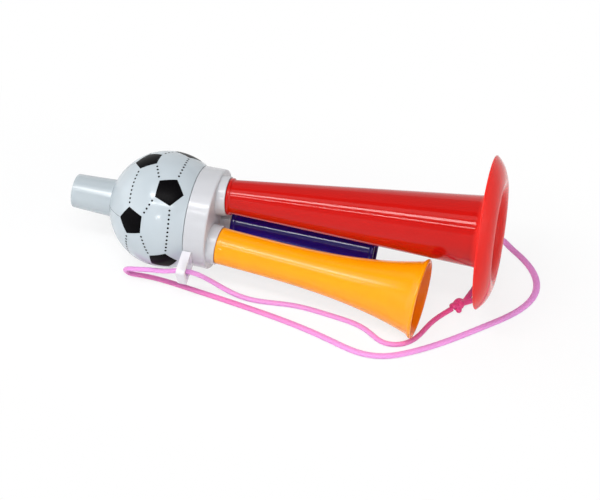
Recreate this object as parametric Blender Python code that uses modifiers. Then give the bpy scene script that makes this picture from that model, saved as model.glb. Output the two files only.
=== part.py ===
"""Stadium horn: three plastic horns on a football-shaped wind chamber, lying on a table."""
import bpy
import bmesh
import numpy as np
from math import acos, asin, cos, pi, radians, sin, sqrt
from mathutils import Matrix, Vector

MM = 0.001

# Fits and tools
CLEARANCE = 0.3 * MM
CUT = 1.0 * MM
WELD = 0.001 * MM
STEPS = 36
SMALL_STEPS = 20
WALL = 1.6 * MM

# Wind chamber: the ball's centre is the zero of the body axis, which runs towards the horns
BALL_DIAMETER = 75.0 * MM
NECK_DEPTH = 11.0 * MM
NECK_LEDGE = 1.6 * MM

# Mouthpiece
MOUTHPIECE_REACH = 27.0 * MM
MOUTHPIECE_DIAMETER = 24.2 * MM
MOUTHPIECE_TIP_DIAMETER = 22.0 * MM
MOUTHPIECE_BORE = 18.0 * MM
MOUTHPIECE_EDGE = 1.0 * MM

# Rear cap
CAP_MARGIN = 1.4 * MM
CAP_STEP = 0.2 * MM
CAP_LENGTH = 14.0 * MM
CAP_EDGE = 1.2 * MM
SPIGOT_LENGTH = 4.0 * MM
SPIGOT_WALL = 1.8 * MM

# Sockets for the horns, spaced evenly round the body axis
HORN_CIRCLE_RADIUS = 18.3 * MM
COLLAR_WALL = 1.4 * MM
COLLAR_HEIGHT = 6.0 * MM
SOCKET_DEPTH = 15.6 * MM
FLOOR_THICKNESS = 1.6 * MM
FLOOR_HOLE_MARGIN = 0.5 * MM

# Lanyard eye, a flat loop in line with the orange horn
EYE_REACH = 15.2 * MM
EYE_WIDTH = 15.6 * MM
EYE_BAR = 2.5 * MM
EYE_THICKNESS = 5.6 * MM
EYE_CORNER = 1.8 * MM

# Horn tubes: what stands in the socket, and the bead that stops it there
ROOT_DIAMETER = 21.8 * MM
BEAD_STEP = 0.9 * MM
BEAD_LENGTH = 2.6 * MM

# Red horn: a straight cone whose lip rolls back round the mouth
RED_LENGTH = 164.3 * MM
RED_SPLAY = radians(3.8)
RED_CONE_DIAMETER = 44.8 * MM
LIP_DIAMETER = 96.0 * MM
LIP_HEIGHT = 8.0 * MM
LIP_WALL = 1.9 * MM
RED_MOUTH_DIAMETER = 65.0 * MM
RED_FLARE_LENGTH = 14.0 * MM

# Orange and blue horns: flared tubes with a rim bead
ORANGE_LENGTH = 132.6 * MM
ORANGE_SPLAY = radians(3.6)
ORANGE_START_DIAMETER = 23.4 * MM
ORANGE_BELL_DIAMETER = 50.8 * MM
ORANGE_FLARE_POWER = 3.25
BLUE_LENGTH = 94.5 * MM
BLUE_SPLAY = radians(3.0)
BLUE_BELL_DIAMETER = 36.0 * MM
BLUE_FLARE_POWER = 2.6
RIM_BEAD_DIAMETER = 2.4 * MM

# Reed units
PLUG_FLANGE = 1.6 * MM
PLUG_SPIGOT = 4.2 * MM
PLUG_MOUTH_DIAMETER = 14.8 * MM
SHALLOT_DIAMETER = 8.4 * MM
SHALLOT_BORE = 5.2 * MM
SHALLOT_LENGTH = 25.7 * MM
SHALLOT_TIP = 2.0 * MM
SHALLOT_FLAT = 1.7 * MM
SHALLOT_ROUND_LENGTH = 1.7 * MM
RING_DIAMETER = 11.8 * MM
RING_LENGTH = 3.5 * MM
RING_OFFSET = 2.7 * MM
TONGUE_WIDTH = 5.4 * MM
TONGUE_THICKNESS = 0.3 * MM
TONGUE_TAIL = 2.8 * MM
TONGUE_LENGTH = 18.3 * MM
TONGUE_SEAT_GAP = 0.5 * MM
TONGUE_REST_ANGLE = radians(3.5)
TONGUE_CLOSED_GAP = 0.1 * MM

# Lanyard
CORD_DIAMETER = 3.6 * MM
CORD_STEPS = 77
CORD_LIFT = 0.1 * MM
KNOT_LENGTH = 10.0 * MM
KNOT_WIDTH = 6.6 * MM
KNOT_HEIGHT = 5.4 * MM
KNOT_POSITION = Vector((192.0, -2.0)) * MM
KNOT_TURN = radians(52.0)

# The cord's way round, in millimetres from the ball's resting point on the table
CORD_ROUTE = (
    (188.7, -6.2, 2.4), (178.2, -21.6, 1.9), (170.9, -37.9, 1.9), (163.6, -44.2, 1.9),
    (153.2, -45.4, 1.9), (141.0, -38.2, 1.9), (116.9, -31.5, 1.9), (90.0, -28.9, 1.9),
    (66.0, -30.8, 1.9), (52.5, -29.9, 3.2), (41.0, -30.0, 8.8), (33.4, -33.6, 16.9),
    (27.2, -36.9, 22.45), (20.0, -38.2, 23.6), (10.0, -37.3, 19.9), (-2.5, -34.6, 15.3),
    (-9.6, -34.4, 13.8), (-15.3, -34.0, 12.4), (-19.9, -31.7, 8.3), (-18.6, -29.4, 3.6),
    (-12.9, -28.2, 2.1), (0.7, -28.3, 1.9), (20.0, -31.0, 1.9), (68.0, -39.2, 1.9),
    (96.0, -45.1, 1.9), (121.5, -52.5, 1.9), (142.5, -58.0, 1.9), (155.5, -56.8, 1.9),
    (169.0, -50.5, 1.9), (194.5, -31.2, 1.9), (213.5, -13.6, 1.9), (229.8, 3.8, 1.9),
    (237.6, 23.0, 1.9), (235.6, 35.4, 1.9), (222.6, 53.0, 1.9), (213.4, 61.2, 1.9),
    (206.4, 66.0, 1.9), (200.4, 60.2, 1.9), (201.0, 48.0, 1.9), (195.3, 2.2, 2.4),
)

# Sizes that follow
BALL_RADIUS = BALL_DIAMETER / 2
ROOT_RADIUS = ROOT_DIAMETER / 2
SOCKET_RADIUS = ROOT_RADIUS + CLEARANCE
COLLAR_RADIUS = SOCKET_RADIUS + COLLAR_WALL
CAP_RADIUS = HORN_CIRCLE_RADIUS + COLLAR_RADIUS + CAP_MARGIN
SEAM_RADIUS = CAP_RADIUS - CAP_STEP
SEAM_POSITION = sqrt(BALL_RADIUS ** 2 - SEAM_RADIUS ** 2)
CAP_FRONT = SEAM_POSITION + CLEARANCE
CAP_BACK = CAP_FRONT + CAP_LENGTH
COLLAR_END = CAP_BACK + COLLAR_HEIGHT
ROOT_BORE_RADIUS = ROOT_RADIUS - WALL
PLUG_BACK = -SOCKET_DEPTH + CLEARANCE
PLUG_FRONT = PLUG_BACK + PLUG_FLANGE
ROOT_END = PLUG_FRONT + CLEARANCE
TONGUE_PIVOT_HEIGHT = SHALLOT_FLAT + TONGUE_SEAT_GAP + TONGUE_THICKNESS / 2
RING_FLAT = SHALLOT_FLAT + TONGUE_SEAT_GAP + TONGUE_THICKNESS + CLEARANCE
RING_BACK = PLUG_BACK - RING_OFFSET - RING_LENGTH
TONGUE_TRAVEL = TONGUE_REST_ANGLE + asin((TONGUE_SEAT_GAP - TONGUE_CLOSED_GAP) / TONGUE_LENGTH)


class HornPlan:
    """Where one horn stands and how long and wide it is."""

    def __init__(self, name, turn, splay, length, bell_diameter, colour):
        self.name = name
        self.turn = turn
        self.splay = splay
        self.length = length
        self.bell_radius = bell_diameter / 2
        self.colour = colour

    def frame(self):
        """Horn frame in the body frame: +Z along the tube, +X away from the body axis."""
        outward = Matrix.Rotation(self.turn, 4, "Z")
        lean = Matrix.Rotation(self.splay, 4, "Y")
        return outward @ Matrix.Translation((HORN_CIRCLE_RADIUS, 0, COLLAR_END)) @ lean


RED = HornPlan("red", 0, RED_SPLAY, RED_LENGTH, LIP_DIAMETER, (0.58, 0.027, 0.022))
ORANGE = HornPlan("orange", 2 * pi / 3, ORANGE_SPLAY, ORANGE_LENGTH, ORANGE_BELL_DIAMETER,
                  (1.0, 0.42, 0.015))
BLUE = HornPlan("blue", -2 * pi / 3, BLUE_SPLAY, BLUE_LENGTH, BLUE_BELL_DIAMETER,
                (0.014, 0.008, 0.085))
HORNS = (RED, ORANGE, BLUE)


def clear_scene():
    for item in list(bpy.data.objects):
        bpy.data.objects.remove(item, do_unlink=True)


def new_collection(name):
    collection = bpy.data.collections.new(name)
    bpy.context.scene.collection.children.link(collection)
    return collection


def plastic(name, colour, roughness=0.3, metallic=0.0):
    material = bpy.data.materials.new(name)
    material.use_nodes = True
    shader = material.node_tree.nodes["Principled BSDF"]
    shader.inputs["Base Color"].default_value = (*colour, 1.0)
    shader.inputs["Roughness"].default_value = roughness
    shader.inputs["Metallic"].default_value = metallic
    material.diffuse_color = (*colour, 1.0)
    return material


def add_object(name, data, collection, parent=None, material=None):
    item = bpy.data.objects.new(name, data)
    collection.objects.link(item)
    item.parent = parent
    if material:
        data.materials.append(material)
    return item


def add_cutter(name, mesh, parent, cutters):
    item = add_object(name, mesh, cutters, parent)
    item.hide_render = True
    item.display_type = "WIRE"
    return item


def mesh_from(name, build):
    """Mesh made by a function that fills a bmesh."""
    shape = bmesh.new()
    build(shape)
    mesh = bpy.data.meshes.new(name)
    shape.to_mesh(mesh)
    shape.free()
    return mesh


def cylinder_mesh(name, radius, low, high, steps=STEPS):
    """Capped cylinder along Z between two heights."""
    def build(shape):
        middle = Matrix.Translation((0, 0, (low + high) / 2))
        bmesh.ops.create_cone(shape, cap_ends=True, segments=steps, radius1=radius,
                              radius2=radius, depth=high - low, matrix=middle)
    return mesh_from(name, build)


def box_mesh(name, low, high):
    """Box between two corners."""
    low = Vector(low)
    high = Vector(high)

    def build(shape):
        size = Matrix.Diagonal((*(high - low), 1))
        bmesh.ops.create_cube(shape, size=1, matrix=Matrix.Translation((low + high) / 2) @ size)
    return mesh_from(name, build)


def boolean(item, cutter, operation="DIFFERENCE"):
    cut = item.modifiers.new(f"{operation.lower()} {cutter.name}", "BOOLEAN")
    cut.operation = operation
    cut.object = cutter
    cut.solver = "EXACT"


def shade_round(mesh):
    mesh.shade_smooth()
    mesh.set_sharp_from_angle(angle=radians(35))


def turned(name, outline, closed, collection, parent, material, steps=STEPS):
    """Outline of (radius, height) points turned about Z, outer side first, top to bottom."""
    mesh = bpy.data.meshes.new(name)
    points = [(radius, 0, height) for radius, height in outline]
    edges = [(i, i + 1) for i in range(len(points) - 1)]
    if closed:
        edges.append((len(points) - 1, 0))
    mesh.from_pydata(points, edges, [])
    item = add_object(name, mesh, collection, parent, material)
    screw = item.modifiers.new("turn", "SCREW")
    screw.steps = screw.render_steps = steps
    screw.use_merge_vertices = True
    screw.merge_threshold = WELD
    return item


def arc(centre, radius, start, end, count):
    """Points on a circle from one angle to another, both ends included."""
    angles = [start + (end - start) * i / count for i in range(count + 1)]
    return [(centre[0] + radius * cos(a), centre[1] + radius * sin(a)) for a in angles]


def bend(first, corner, last, count):
    """Points on a parabola from first to last that leaves and arrives towards the corner."""
    points = []
    for i in range(count + 1):
        t = i / count
        points.append(tuple((1 - t) ** 2 * a + 2 * t * (1 - t) * b + t ** 2 * c
                            for a, b, c in zip(first, corner, last)))
    return points


def make_ball_shell(collection, parent, material):
    """Front of the wind chamber, with a neck that holds the mouthpiece."""
    neck_radius = MOUTHPIECE_DIAMETER / 2 + CLEARANCE
    neck_outer = neck_radius + WALL
    inner_radius = BALL_RADIUS - WALL
    neck_front = -sqrt(BALL_RADIUS ** 2 - neck_radius ** 2)
    neck_back = neck_front + NECK_DEPTH
    ledge_back = neck_back + NECK_LEDGE
    outside = arc((0, 0), BALL_RADIUS, asin(SEAM_POSITION / BALL_RADIUS),
                  -acos(neck_radius / BALL_RADIUS), 15)
    neck = [(neck_radius, neck_back), (neck_radius - NECK_LEDGE, neck_back),
            (neck_radius - NECK_LEDGE, ledge_back), (neck_outer, ledge_back)]
    inside = arc((0, 0), inner_radius, -acos(neck_outer / inner_radius),
                 asin(SEAM_POSITION / inner_radius), 11)
    return turned("ball_shell", outside + neck + inside, True, collection, parent, material)


def make_mouthpiece(collection, parent, material):
    """Tapered tube that is blown into."""
    radius = MOUTHPIECE_DIAMETER / 2
    tip_radius = MOUTHPIECE_TIP_DIAMETER / 2
    bore = MOUTHPIECE_BORE / 2
    ball_front = -sqrt(BALL_RADIUS ** 2 - (radius + CLEARANCE) ** 2)
    back = ball_front + NECK_DEPTH - CLEARANCE
    tip = ball_front - MOUTHPIECE_REACH
    outline = [(radius, back), (radius, ball_front)]
    outline += arc((tip_radius - MOUTHPIECE_EDGE, tip + MOUTHPIECE_EDGE), MOUTHPIECE_EDGE,
                   0, -pi / 2, 3)
    outline += [(bore, tip), (radius - WALL, ball_front), (radius - WALL, back)]
    return turned("mouthpiece", outline, True, collection, parent, material)


def make_rear_cap(collection, cutters, parent, material):
    """Drum that closes the ball, with the three sockets and the lanyard eye."""
    radius = CAP_RADIUS
    inner = radius - WALL
    spigot = sqrt((BALL_RADIUS - WALL) ** 2 - SEAM_POSITION ** 2) - CLEARANCE
    spigot_inner = spigot - SPIGOT_WALL
    spigot_front = CAP_FRONT - SPIGOT_LENGTH
    shoulder = CAP_FRONT + WALL
    outline = [(0, CAP_BACK)]
    outline += arc((radius - CAP_EDGE, CAP_BACK - CAP_EDGE), CAP_EDGE, pi / 2, 0, 3)
    outline += [(SEAM_RADIUS, CAP_FRONT), (spigot, CAP_FRONT), (spigot, spigot_front),
                (spigot_inner, spigot_front), (spigot_inner, CAP_FRONT), (inner, shoulder),
                (inner, CAP_BACK - WALL), (0, CAP_BACK - WALL)]
    cap = turned("rear_cap", outline, False, collection, parent, material)

    floor = -SOCKET_DEPTH - FLOOR_THICKNESS
    for plan in HORNS:
        frame = plan.frame()
        socket = add_cutter(f"{plan.name}_socket",
                            cylinder_mesh("socket", COLLAR_RADIUS, floor, 0), parent, cutters)
        socket.matrix_local = frame
        boolean(cap, socket, "UNION")
    boolean(cap, eye_loop(parent, cutters), "UNION")
    for plan in HORNS:
        frame = plan.frame()
        bore = add_cutter(f"{plan.name}_socket_bore",
                          cylinder_mesh("bore", SOCKET_RADIUS, -SOCKET_DEPTH, CUT), parent, cutters)
        bore.matrix_local = frame
        boolean(cap, bore)
        hole = add_cutter(f"{plan.name}_floor_hole",
                          cylinder_mesh("hole", RING_DIAMETER / 2 + FLOOR_HOLE_MARGIN, floor - CUT,
                                        CUT - SOCKET_DEPTH, SMALL_STEPS), parent, cutters)
        hole.matrix_local = frame
        boolean(cap, hole)
    return cap


def eye_loop(parent, cutters):
    """Rounded strip loop that stands on the cap's rim, its hole along the body axis."""
    radius = CAP_RADIUS
    root = radius - WALL / 2
    front = CAP_FRONT
    back = front + EYE_THICKNESS
    half = EYE_WIDTH / 2
    turn = Matrix.Rotation(ORANGE.turn, 4, "Z")
    loop = add_cutter("eye_loop", box_mesh("loop", (root, -half, front),
                                           (radius + EYE_REACH, half, back)), parent, cutters)
    loop.matrix_local = turn
    round_outer_corners(loop, radius + EYE_REACH, EYE_CORNER)
    window = add_cutter("eye_window", box_mesh("window", (radius + CLEARANCE, EYE_BAR - half,
                                                          front - CUT),
                                               (radius + EYE_REACH - EYE_BAR, half - EYE_BAR,
                                                back + CUT)), parent, cutters)
    window.matrix_local = turn
    boolean(loop, window)
    return loop


def round_outer_corners(item, reach, size):
    """Rounds the two edges along Z that stand furthest out."""
    shape = bmesh.new()
    shape.from_mesh(item.data)
    corners = [edge for edge in shape.edges
               if all(abs(v.co.x - reach) < WELD for v in edge.verts)
               and abs(edge.verts[0].co.y - edge.verts[1].co.y) < WELD]
    bmesh.ops.bevel(shape, geom=corners, offset=size, segments=4, profile=0.5, affect="EDGES")
    shape.to_mesh(item.data)
    shape.free()


def make_red_horn(plan, collection, frame, material):
    """Straight cone that ends in a lip rolled back round the mouth."""
    start = ROOT_RADIUS
    cone_end = RED_CONE_DIAMETER / 2
    mouth = RED_MOUTH_DIAMETER / 2
    crest = plan.length + LIP_HEIGHT
    flare_start = crest - RED_FLARE_LENGTH
    lip = plan.bell_radius
    lip_outside = bend((mouth + LIP_WALL / 2, crest), (lip - LIP_WALL, crest), (lip, plan.length), 5)
    lip_inside = bend((lip - LIP_WALL, plan.length), (lip - 2 * LIP_WALL, crest - LIP_WALL),
                      (mouth + LIP_WALL, crest - LIP_WALL), 5)
    neck = bend((mouth + LIP_WALL, crest - LIP_WALL), (cone_end + LIP_WALL, crest - 2 * LIP_WALL),
                (cone_end, flare_start), 4)[1:]
    outline = lip_outside + lip_inside + neck + root_outline(start)
    outline += [(start - WALL, BEAD_LENGTH), (cone_end - WALL, flare_start)]
    outline += bend((cone_end - WALL, flare_start), (cone_end + LIP_WALL, crest - LIP_WALL),
                    (mouth - LIP_WALL / 2, crest - LIP_WALL / 4), 4)[1:]
    return turned(f"{plan.name}_horn", outline, True, collection, frame, material)


def root_outline(start):
    """Bead and root of a tube, from the tube's start down to its foot and up its bore."""
    bead = max(ROOT_RADIUS + BEAD_STEP, start)
    chamfer = bead - start
    points = [(start, BEAD_LENGTH + CLEARANCE)]
    if chamfer > WELD:
        points += [(bead, BEAD_LENGTH - chamfer / 2), (bead, CLEARANCE)]
    else:
        points += [(bead, CLEARANCE)]
    points += [(ROOT_RADIUS, CLEARANCE), (ROOT_RADIUS, ROOT_END), (ROOT_BORE_RADIUS, ROOT_END)]
    return points


def make_flared_horn(plan, start, power, collection, frame, material):
    """Tube whose radius grows with a power of its length, with a bead round the rim."""
    bead = RIM_BEAD_DIAMETER / 2
    rim = plan.bell_radius - bead
    end = plan.length - bead
    places = [BEAD_LENGTH + CLEARANCE + (end - BEAD_LENGTH) * share
              for share in (0, 0.3, 0.5, 0.64, 0.75, 0.84, 0.92, 1.0)]

    def radius_at(height):
        return start + (rim - start) * (height / end) ** power

    outline = arc((rim, end), bead, pi / 2, -pi / 4, 4)
    outline += [(radius_at(z), z) for z in reversed(places[1:-1])]
    outline += root_outline(start)
    outline += [(radius_at(z) - WALL, z) for z in places[:-1]]
    outline += [(rim - bead, end)]
    return turned(f"{plan.name}_horn", outline, True, collection, frame, material)


def make_reed_holder(plan, collection, cutters, frame, material):
    """Plug at the socket's floor whose hollow shallot reaches into the chamber."""
    spigot = ROOT_BORE_RADIUS - CLEARANCE
    spigot_end = PLUG_FRONT + PLUG_SPIGOT
    stem = SHALLOT_DIAMETER / 2
    bore = SHALLOT_BORE / 2
    tip = PLUG_BACK - SHALLOT_LENGTH
    outline = [(spigot, spigot_end), (spigot, PLUG_FRONT), (ROOT_RADIUS, PLUG_FRONT),
               (ROOT_RADIUS, PLUG_BACK), (stem, PLUG_BACK), (stem, tip + SHALLOT_TIP / 2),
               (stem - SHALLOT_TIP / 2, tip), (0, tip)]
    outline += [(0, tip + SHALLOT_TIP), (bore, tip + SHALLOT_TIP), (bore, PLUG_FRONT),
                (PLUG_MOUTH_DIAMETER / 2, spigot_end)]
    holder = turned(f"{plan.name}_reed_holder", outline, True, collection, frame, material,
                    SMALL_STEPS)
    flat = add_cutter(f"{plan.name}_shallot_flat",
                      box_mesh("flat", (SHALLOT_FLAT, -stem - CUT, tip - CUT),
                               (stem + CUT, stem + CUT, PLUG_BACK - SHALLOT_ROUND_LENGTH)),
                      frame, cutters)
    boolean(holder, flat)
    return holder


def make_reed_ring(plan, collection, cutters, frame, material):
    """Slip ring with a flat in its hole that holds the tongue's root down."""
    ring = add_object(f"{plan.name}_reed_ring",
                      cylinder_mesh("ring", RING_DIAMETER / 2, RING_BACK, RING_BACK + RING_LENGTH,
                                    SMALL_STEPS), collection, frame, material)
    hole_mesh = cylinder_mesh("ring hole", SHALLOT_DIAMETER / 2 + CLEARANCE, RING_BACK - CUT,
                              RING_BACK + RING_LENGTH + CUT, SMALL_STEPS)
    shape = bmesh.new()
    shape.from_mesh(hole_mesh)
    cut = bmesh.ops.bisect_plane(shape, geom=shape.verts[:] + shape.edges[:] + shape.faces[:],
                                 plane_co=(RING_FLAT, 0, 0), plane_no=(1, 0, 0), clear_outer=True)
    edges = [piece for piece in cut["geom_cut"] if isinstance(piece, bmesh.types.BMEdge)]
    bmesh.ops.contextual_create(shape, geom=edges)
    bmesh.ops.recalc_face_normals(shape, faces=shape.faces)
    shape.to_mesh(hole_mesh)
    shape.free()
    boolean(ring, add_cutter(f"{plan.name}_ring_hole", hole_mesh, frame, cutters))
    return ring


def make_reed_tongue(plan, collection, frame, material):
    """Thin tongue that turns about the ring's edge, its origin on that line."""
    half = TONGUE_WIDTH / 2
    thick = TONGUE_THICKNESS / 2
    tongue = add_object(f"{plan.name}_reed_tongue",
                        box_mesh("tongue", (-thick, -half, -TONGUE_LENGTH),
                                 (thick, half, TONGUE_TAIL)), collection, frame, material)
    tongue.location = (TONGUE_PIVOT_HEIGHT, 0, RING_BACK)
    tongue.rotation_euler = (0, -TONGUE_REST_ANGLE, 0)
    return tongue


def smooth_route(points, steps):
    """Evenly spaced points on the natural cubic spline through the route's own points."""
    points = np.array(points)
    spans = np.linalg.norm(np.diff(points, axis=0), axis=1)
    slopes = np.diff(points, axis=0) / spans[:, None]
    system = np.eye(len(points))
    load = np.zeros((len(points), 3))
    for i in range(1, len(points) - 1):
        system[i, i - 1:i + 2] = spans[i - 1], 2 * (spans[i - 1] + spans[i]), spans[i]
        load[i] = 6 * (slopes[i] - slopes[i - 1])
    bends = np.linalg.solve(system, load)
    fine = [points[0]]
    for i, span in enumerate(spans):
        for t in span * np.arange(1, 17) / 16:
            u = span - t
            chord = (points[i] * u + points[i + 1] * t) / span
            bow = bends[i] * (u ** 3 / span - u * span) + bends[i + 1] * (t ** 3 / span - t * span)
            fine.append(chord + bow / 6)
    fine = np.array(fine)
    reach = np.concatenate(([0], np.cumsum(np.linalg.norm(np.diff(fine, axis=0), axis=1))))
    places = np.linspace(0, reach[-1], steps + 1)
    return np.stack([np.interp(places, reach, fine[:, axis]) for axis in range(3)], axis=1)


def make_cord(collection, parent, material):
    """Free cord from the knot through the eye and round to the knot again."""
    curve = bpy.data.curves.new("lanyard_cord", "CURVE")
    curve.dimensions = "3D"
    curve.bevel_depth = CORD_DIAMETER / 2
    curve.bevel_resolution = 2
    curve.use_fill_caps = True
    route = smooth_route(CORD_ROUTE, CORD_STEPS) * MM
    route[:, 2] = np.maximum(route[:, 2], CORD_DIAMETER / 2 + CORD_LIFT)
    line = curve.splines.new("POLY")
    line.points.add(CORD_STEPS)
    for place, point in zip(line.points, route):
        place.co = (*point, 1)
    length = np.linalg.norm(np.diff(route, axis=0), axis=1).sum()
    print(f"cord length {length / MM:.1f} mm, {len(route)} points")
    return add_object("lanyard_cord", curve, collection, parent, material)


def make_knot(collection, parent, material):
    """Plain body of the knot that closes the cord's loop."""
    def build(shape):
        bmesh.ops.create_uvsphere(shape, u_segments=16, v_segments=10, radius=0.5,
                                  matrix=Matrix.Diagonal((KNOT_LENGTH, KNOT_WIDTH, KNOT_HEIGHT, 1)))
    knot = add_object("lanyard_knot", mesh_from("knot", build), collection, parent, material)
    knot.location = (*KNOT_POSITION, KNOT_HEIGHT / 2)
    knot.rotation_euler = (0, 0, KNOT_TURN)
    return knot


def lowest_point(centre, axis, radius):
    """Lowest height of a circle in space."""
    return centre.z - radius * sqrt(max(0.0, 1 - axis.z ** 2))


def resting_frame():
    """Body frame on the table, found so that the ball and the two lower bells all touch it."""
    def frame_at(roll, pitch):
        along = Matrix(((0, 0, 1, 0), (0, -1, 0, 0), (1, 0, 0, 0), (0, 0, 0, 1)))
        return Matrix.Rotation(pitch, 4, "Y") @ Matrix.Rotation(roll, 4, "X") @ along

    def gaps(roll, pitch):
        frame = frame_at(roll, pitch)
        found = []
        for plan in (ORANGE, BLUE):
            horn = frame @ plan.frame()
            rim = horn @ Vector((0, 0, plan.length - RIM_BEAD_DIAMETER / 2))
            axis = (horn.to_3x3() @ Vector((0, 0, 1))).normalized()
            bead = RIM_BEAD_DIAMETER / 2
            found.append(lowest_point(rim, axis, plan.bell_radius - bead) - bead + BALL_RADIUS)
        return found

    roll, pitch, step = radians(14.0), radians(1.5), 1e-5
    for _ in range(20):
        here = gaps(roll, pitch)
        by_roll = [(b - a) / step for a, b in zip(here, gaps(roll + step, pitch))]
        by_pitch = [(b - a) / step for a, b in zip(here, gaps(roll, pitch + step))]
        spread = by_roll[0] * by_pitch[1] - by_roll[1] * by_pitch[0]
        roll -= (here[0] * by_pitch[1] - here[1] * by_pitch[0]) / spread
        pitch -= (here[1] * by_roll[0] - here[0] * by_roll[1]) / spread
    return Matrix.Translation((0, 0, BALL_RADIUS)) @ frame_at(roll, pitch)


def centre_on_origin(table, body, items):
    """Moves the table's frame sideways and the body down until the horn's box stands on the origin."""
    bpy.context.view_layer.update()
    graph = bpy.context.evaluated_depsgraph_get()
    corners = []
    for item in items:
        shape = item.evaluated_get(graph)
        corners += [shape.matrix_world @ v.co for v in shape.to_mesh().vertices]
        shape.to_mesh_clear()
    for axis in range(2):
        values = [corner[axis] for corner in corners]
        table.location[axis] = -(min(values) + max(values)) / 2
    body.location.z -= min(corner.z for corner in corners)


def main():
    clear_scene()
    parts = new_collection("stadium_horn")
    cutters = new_collection("cutters")
    white = plastic("white_abs", (0.69, 0.73, 0.74), 0.28)
    holder_white = plastic("reed_holder_abs", (0.62, 0.62, 0.58), 0.45)
    ring_black = plastic("reed_ring_nylon", (0.05, 0.05, 0.055), 0.5)
    brass = plastic("reed_brass", (0.78, 0.53, 0.2), 0.3, 1.0)
    cord_pink = plastic("cord_pink", (0.87, 0.24, 0.66), 0.7)

    table = add_object("table_frame", None, parts)
    body = add_object("body_frame", None, parts, table)
    body.matrix_local = resting_frame()
    solids = [make_mouthpiece(parts, body, white), make_ball_shell(parts, body, white),
              make_rear_cap(parts, cutters, body, white)]
    for plan in HORNS:
        frame = add_object(f"{plan.name}_frame", None, parts, body)
        frame.matrix_local = plan.frame()
        tube = plastic(f"{plan.name}_polypropylene", plan.colour, 0.22)
        if plan is RED:
            horn = make_red_horn(plan, parts, frame, tube)
        elif plan is ORANGE:
            horn = make_flared_horn(plan, ORANGE_START_DIAMETER / 2, ORANGE_FLARE_POWER, parts,
                                    frame, tube)
        else:
            horn = make_flared_horn(plan, ROOT_RADIUS, BLUE_FLARE_POWER, parts, frame, tube)
        solids += [horn, make_reed_holder(plan, parts, cutters, frame, holder_white),
                   make_reed_tongue(plan, parts, frame, brass),
                   make_reed_ring(plan, parts, cutters, frame, ring_black)]
    centre_on_origin(table, body, solids)
    make_cord(parts, table, cord_pink)
    make_knot(parts, table, cord_pink)
    for item in solids:
        shade_round(item.data)
    print(f"tongue travel {TONGUE_TRAVEL * 180 / pi:.2f} degrees")


main()
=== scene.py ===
"""Looks of a stadium horn: a football-shaped wind chamber, three horns and a neck lanyard."""
import logging
from dataclasses import dataclass, replace
from enum import Enum
from math import acos, asin, cos, pi, radians, sin, sqrt
from typing import Any, Iterable, Optional, Sequence

import bmesh
import bpy
import numpy as np
from mathutils import Matrix, Vector


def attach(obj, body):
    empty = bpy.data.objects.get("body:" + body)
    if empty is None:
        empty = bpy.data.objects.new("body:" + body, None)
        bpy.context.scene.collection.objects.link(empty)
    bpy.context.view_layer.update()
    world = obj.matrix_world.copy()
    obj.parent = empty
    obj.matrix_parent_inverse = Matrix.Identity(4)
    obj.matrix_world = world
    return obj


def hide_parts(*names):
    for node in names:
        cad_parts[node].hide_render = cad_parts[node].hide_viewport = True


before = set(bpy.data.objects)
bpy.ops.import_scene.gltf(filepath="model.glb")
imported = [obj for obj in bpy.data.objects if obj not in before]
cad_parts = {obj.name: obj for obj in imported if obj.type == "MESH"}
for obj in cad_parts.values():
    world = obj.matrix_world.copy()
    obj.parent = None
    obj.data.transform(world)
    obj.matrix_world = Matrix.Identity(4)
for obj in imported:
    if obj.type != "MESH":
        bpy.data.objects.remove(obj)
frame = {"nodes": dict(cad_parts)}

logging.basicConfig(level=logging.INFO, format="%(message)s")
LOG = logging.getLogger("horn")

MM = 0.001
WELD = 0.0005 * MM
PHOTO_WIDTH = 600
SHARP = 35.0
EDGE_STEPS = 8
BODY = "horn"

Shape = bmesh.types.BMesh
Mesh = bpy.types.Mesh
Material = bpy.types.Material
Piece = bpy.types.Object
Tree = bpy.types.NodeTree
Socket = bpy.types.NodeSocket
Spot = tuple[float, float, float]
Outline = list[tuple[float, float]]


class Slot(Enum):
    """Material slots of the record that the dressed pieces stand for."""

    WHITE = "white_plastic"
    RED = "red_plastic"
    ORANGE = "orange_plastic"
    BLUE = "blue_plastic"
    CORD = "cord_fabric"


class Join(Enum):
    """Ways to combine two solids."""

    ADD = "UNION"
    TAKE = "DIFFERENCE"


@dataclass(frozen=True)
class Stand:
    """Where the horn lies: its ball and its two lower bells touch the table."""

    ball_centre: Spot = (-75.5156, -2.0001, 37.4279)
    roll: float = radians(-13.5222)
    pitch: float = radians(1.5417)

    def below_ball(self) -> np.ndarray:
        """Point of the table below the ball's centre."""
        return np.array(Vector((*self.ball_centre[:2], 0.0)) * MM)

    def body(self) -> Matrix:
        """Frame of the ball: its centre, and +Z along the body towards the horns."""
        along = Matrix(((0, 0, 1, 0), (0, -1, 0, 0), (1, 0, 0, 0), (0, 0, 0, 1)))
        turn = Matrix.Rotation(self.pitch, 4, "Y") @ Matrix.Rotation(self.roll, 4, "X")
        return Matrix.Translation(Vector(self.ball_centre) * MM) @ turn @ along


TABLE_ORIGIN = Stand().below_ball()
BODY_FRAME = Stand().body()


def bend(first: Sequence[float], corner: Sequence[float], last: Sequence[float],
         count: int) -> Outline:
    """Points on a parabola that leaves and arrives towards a corner.

    Args:
        first: Radius and height where the parabola starts.
        corner: Radius and height of its corner.
        last: Radius and height where it ends.
        count: Number of steps.

    Returns:
        The points, both ends included.
    """
    steps = [i / count for i in range(count + 1)]
    return [tuple((1 - t) ** 2 * a + 2 * t * (1 - t) * b + t * t * c
                  for a, b, c in zip(first, corner, last)) for t in steps]


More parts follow.
